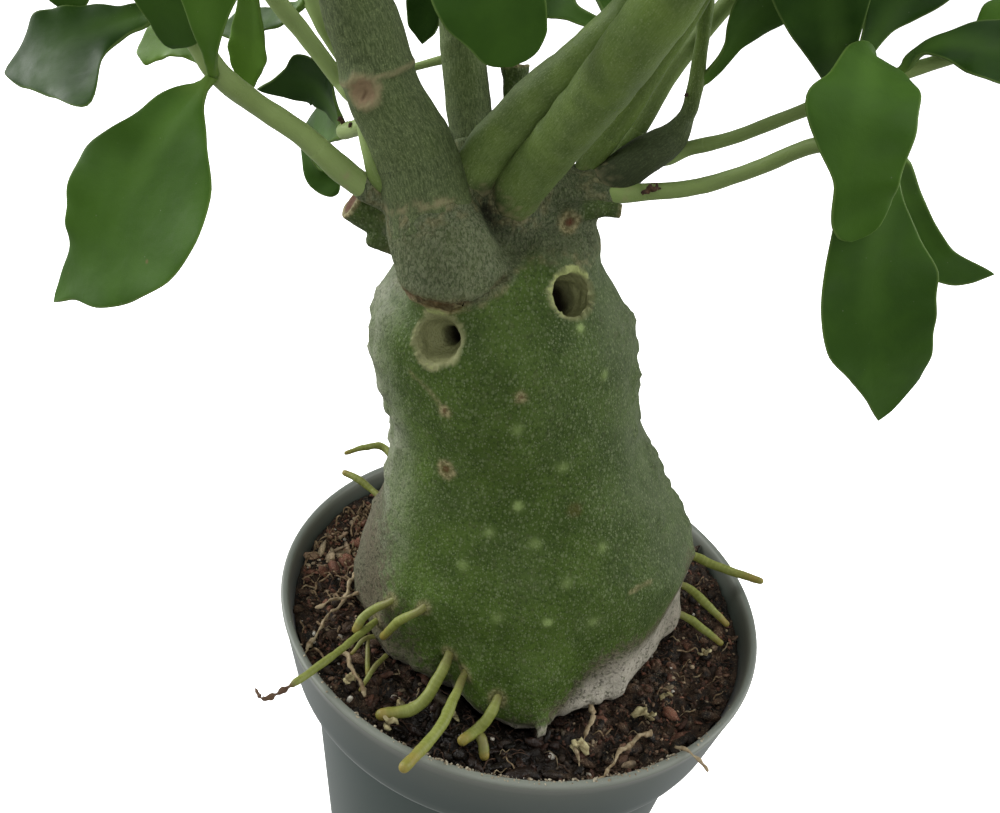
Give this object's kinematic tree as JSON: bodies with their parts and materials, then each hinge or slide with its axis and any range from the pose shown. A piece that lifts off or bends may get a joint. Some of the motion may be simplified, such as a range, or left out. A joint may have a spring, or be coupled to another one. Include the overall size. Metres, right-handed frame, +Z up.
{
  "type": "potted ant plant",
  "caption": "Ant plant with a swollen green caudex, ant holes, thick stems and broad glossy leaves, growing in a round nursery pot of dark potting mix.",
  "frame": {"origin": "centre of the pot's base, on the surface it stands on", "axes": "+Z up along the pot's axis; -Y towards the plant's front, the side with the two ant holes; +X to the right seen from the front"},
  "size_m": [0.1831, 0.129, 0.3031],
  "materials": {
    "pot": "matte",
    "soil": "matte",
    "caudex": "matte",
    "foliage": "satin"
  },
  "bodies": {
    "root": {"pot": "pot", "soil": "soil", "caudex": "caudex", "stem_main_left": "foliage", "stem_low_left": "foliage", "stem_back_left": "foliage", "stem_centre": "foliage", "stem_front": "foliage", "stem_right_inner": "foliage", "stem_right_outer": "foliage", "stem_right_shoot": "foliage", "stem_right_far": "foliage", "stem_low_right": "foliage"}
  },
  "joints": []
}
